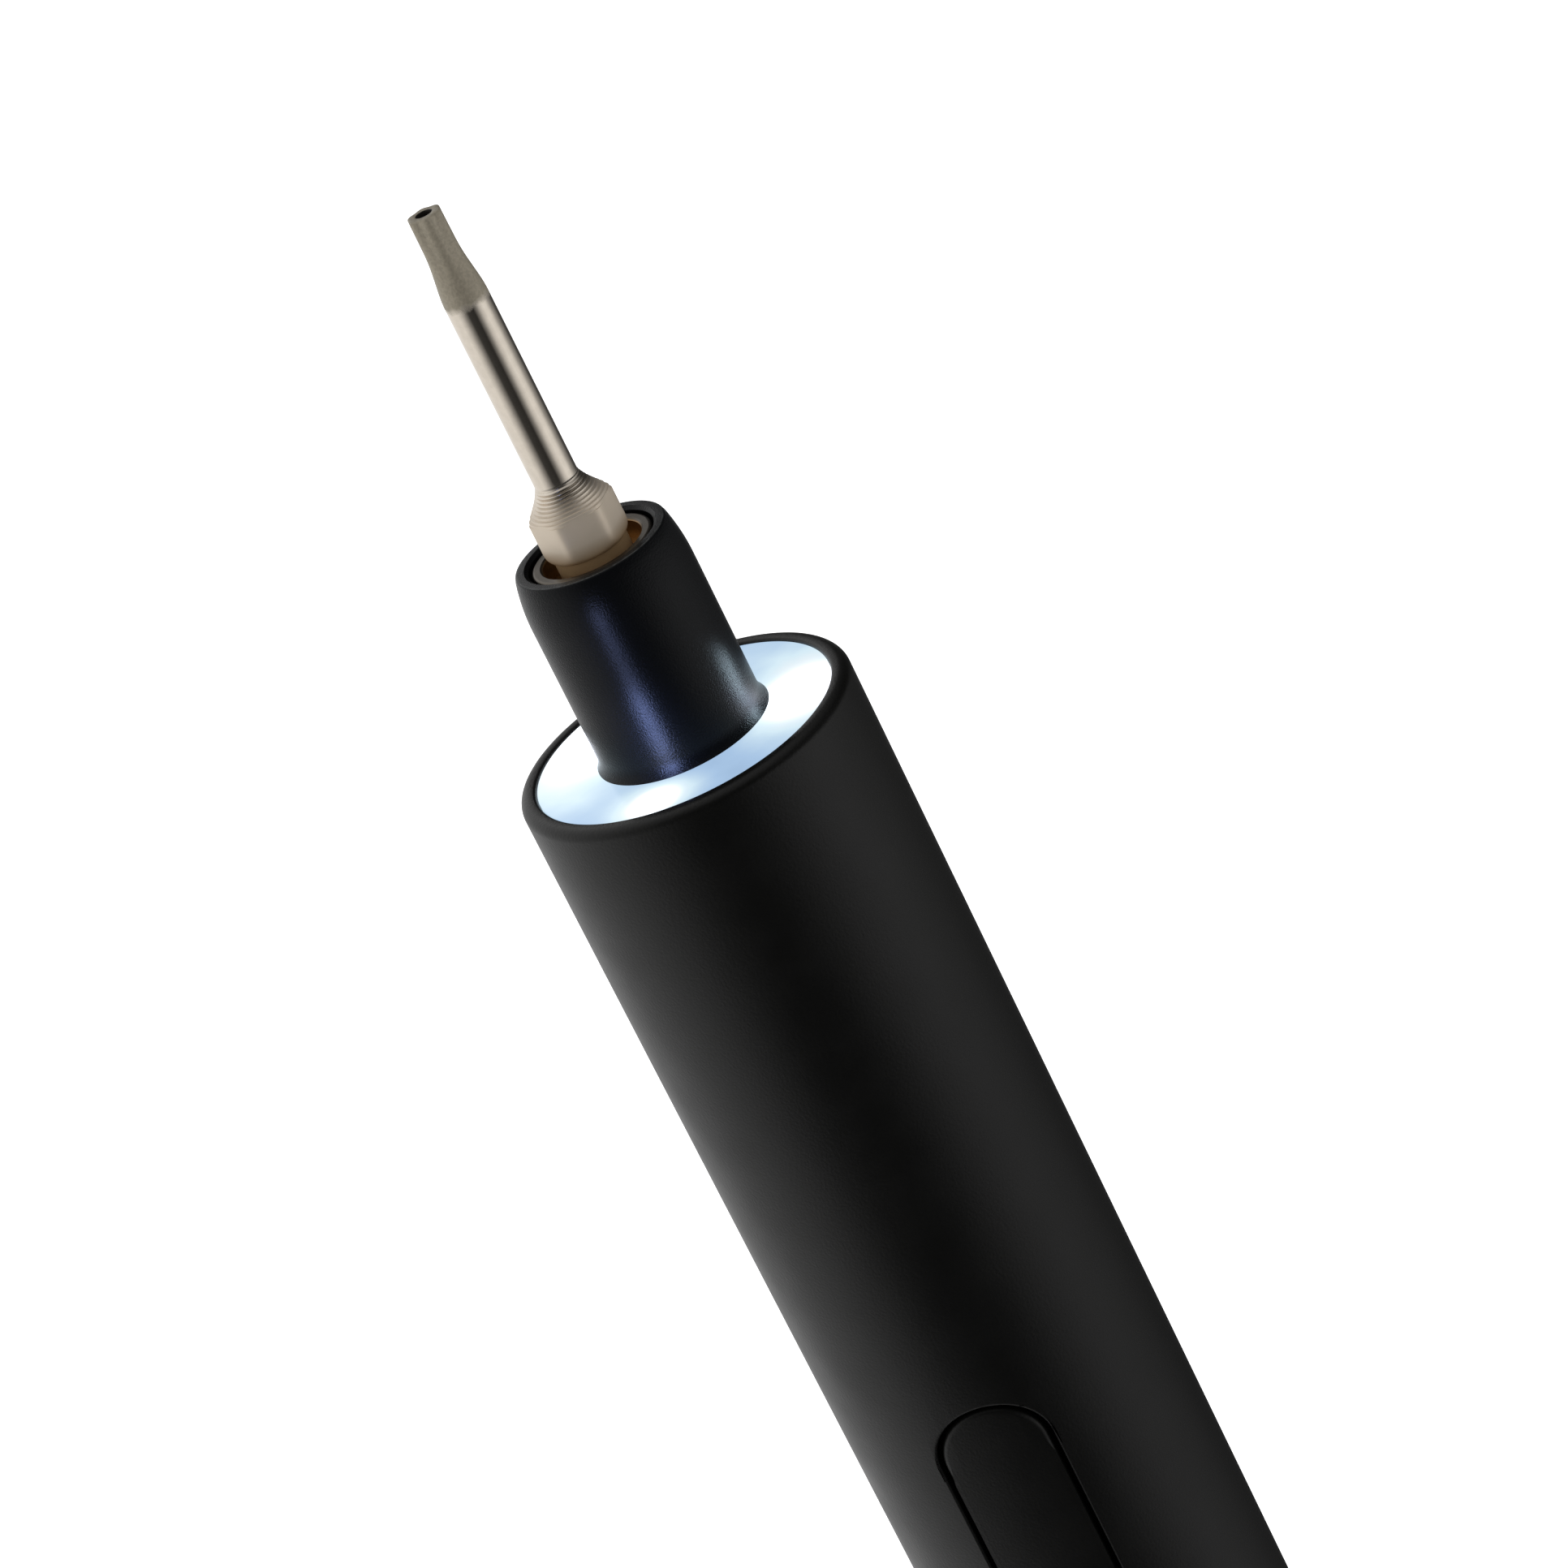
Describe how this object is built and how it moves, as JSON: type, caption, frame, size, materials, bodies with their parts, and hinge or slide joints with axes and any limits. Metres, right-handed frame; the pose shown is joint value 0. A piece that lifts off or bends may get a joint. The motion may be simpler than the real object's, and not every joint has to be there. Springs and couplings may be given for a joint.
{
  "type": "electric torque screwdriver",
  "caption": "Pen-style rechargeable precision screwdriver: slim matte tube with a rocker button, lit front ring, tapered nose and a hex-socket spindle that holds a slender bit.",
  "frame": {"origin": "centre of the flat rear face, which the tool stands on", "axes": "+Z along the tool from the rear face to the bit's tip; the button faces -Y; X runs across the tool and along the long side of the charging socket"},
  "size_m": [0.0176, 0.0176, 0.1631],
  "materials": {
    "body_black": "fine bead-blasted black anodising, matte",
    "nose_black": "black anodising, satin",
    "diffuser": "milky clear polycarbonate, lit from behind",
    "lamp": "yellow phosphor in a white package",
    "lamp_board": "white solder mask",
    "board_green": "green solder mask",
    "chip_black": "moulded epoxy",
    "flex_amber": "polyimide film",
    "bronze": "sintered bronze",
    "moulding_grey": "glass-filled nylon, matte",
    "gear_white": "moulded acetal",
    "steel_machined": "turned steel",
    "steel_plated": "nickel-plated steel",
    "motor_steel": "zinc-plated deep-drawn steel",
    "magnet_grey": "nickel-coated sintered magnet",
    "motor_cap_green": "moulded plastic",
    "copper": "enamelled copper wire",
    "pinion_brass": "machined brass",
    "lead_insulation": "silicone insulation",
    "silicone_grey": "moulded silicone",
    "cell_wrap": "shrink sleeve",
    "cell_ring": "insulating card",
    "nickel_strip": "nickel strip",
    "usb_steel": "stamped stainless steel",
    "usb_black": "moulded plastic",
    "spindle_steel": "turned steel, warm grey",
    "bit_steel": "nickel-plated tool steel, blasted tip"
  },
  "bodies": {
    "housing": {"body_tube": "body_black", "light_ring": "diffuser", "led_board": "lamp_board", "leds": "lamp", "led_flex": "flex_amber", "nose_sleeve": "nose_black", "front_bush": "bronze", "front_housing": "moulding_grey", "rear_bush": "bronze", "ring_gear": "gear_white", "motor_plate": "steel_machined", "motor_can": "motor_steel", "motor_magnet": "magnet_grey", "motor_cap": "motor_cap_green", "motor_bushes": "bronze", "motor_brushes": "copper", "motor_screws": "steel_plated", "motor_leads": "lead_insulation", "chassis": "moulding_grey", "main_board": "board_green", "board_chips": "chip_black", "dome_pad": "silicone_grey", "pivot_pin": "steel_plated", "battery_cell": "cell_wrap", "battery_ring": "cell_ring", "battery_tabs": "nickel_strip", "usb_board": "board_green", "usb_shell": "usb_steel", "usb_tongue": "usb_black", "usb_board_screws": "steel_plated", "rear_cap": "body_black", "thrust_washer": "steel_plated"},
    "button": {"button": "body_black"},
    "spindle": {"spindle": "spindle_steel", "bit_magnet": "magnet_grey", "output_carrier": "steel_machined", "output_pins": "steel_plated"},
    "bit": {"driver_bit": "bit_steel"},
    "output_planet_1": {"output_planet_1": "gear_white"},
    "output_planet_2": {"output_planet_2": "gear_white"},
    "output_planet_3": {"output_planet_3": "gear_white"},
    "first_carrier": {"first_carrier": "steel_machined", "first_pins": "steel_plated"},
    "first_planet_1": {"first_planet_1": "gear_white"},
    "first_planet_2": {"first_planet_2": "gear_white"},
    "first_planet_3": {"first_planet_3": "gear_white"},
    "rotor": {"motor_pinion": "pinion_brass", "motor_shaft": "steel_plated", "winding_cup": "copper", "winding_hub": "chip_black", "commutator": "pinion_brass"}
  },
  "joints": [
    {"name": "rotor_spin", "type": "hinge", "parent": "housing", "child": "rotor", "pos_m": [0, 0, 0.11523], "axis": [0, 0, 1], "continuous": true},
    {"name": "first_carrier_spin", "type": "hinge", "parent": "housing", "child": "first_carrier", "pos_m": [0, 0, 0.11803], "axis": [0, 0, 1], "continuous": true},
    {"name": "spindle_spin", "type": "hinge", "parent": "housing", "child": "spindle", "pos_m": [0, 0, 0.11983], "axis": [0, 0, 1], "continuous": true},
    {"name": "first_planet_1_spin", "type": "hinge", "parent": "first_carrier", "child": "first_planet_1", "pos_m": [0, 0.00375, 0.11523], "axis": [0, 0, 1], "continuous": true},
    {"name": "first_planet_2_spin", "type": "hinge", "parent": "first_carrier", "child": "first_planet_2", "pos_m": [-0.00325, -0.00187, 0.11523], "axis": [0, 0, 1], "continuous": true},
    {"name": "first_planet_3_spin", "type": "hinge", "parent": "first_carrier", "child": "first_planet_3", "pos_m": [0.00325, -0.00187, 0.11523], "axis": [0, 0, 1], "continuous": true},
    {"name": "output_planet_1_spin", "type": "hinge", "parent": "spindle", "child": "output_planet_1", "pos_m": [0, 0.00375, 0.11983], "axis": [0, 0, 1], "continuous": true},
    {"name": "output_planet_2_spin", "type": "hinge", "parent": "spindle", "child": "output_planet_2", "pos_m": [-0.00325, -0.00187, 0.11983], "axis": [0, 0, 1], "continuous": true},
    {"name": "output_planet_3_spin", "type": "hinge", "parent": "spindle", "child": "output_planet_3", "pos_m": [0.00325, -0.00187, 0.11983], "axis": [0, 0, 1], "continuous": true},
    {"name": "bit_pull", "type": "slide", "parent": "spindle", "child": "bit", "axis": [0, 0, 1], "range_m": [0, 0.012]},
    {"name": "button_rock", "type": "hinge", "parent": "housing", "child": "button", "pos_m": [0, -0.0044, 0.0847], "axis": [1, 0, 0], "range_deg": [-1.5, 1.5], "stiffness_Nm_per_rad": 0.6}
  ],
  "couplings": [
    {"joint": "first_carrier_spin", "follows": "rotor_spin", "ratio": 0.2},
    {"joint": "spindle_spin", "follows": "rotor_spin", "ratio": 0.04},
    {"joint": "first_planet_1_spin", "follows": "rotor_spin", "ratio": -0.53333},
    {"joint": "first_planet_2_spin", "follows": "rotor_spin", "ratio": -0.53333},
    {"joint": "first_planet_3_spin", "follows": "rotor_spin", "ratio": -0.53333},
    {"joint": "output_planet_1_spin", "follows": "rotor_spin", "ratio": -0.10667},
    {"joint": "output_planet_2_spin", "follows": "rotor_spin", "ratio": -0.10667},
    {"joint": "output_planet_3_spin", "follows": "rotor_spin", "ratio": -0.10667}
  ]
}
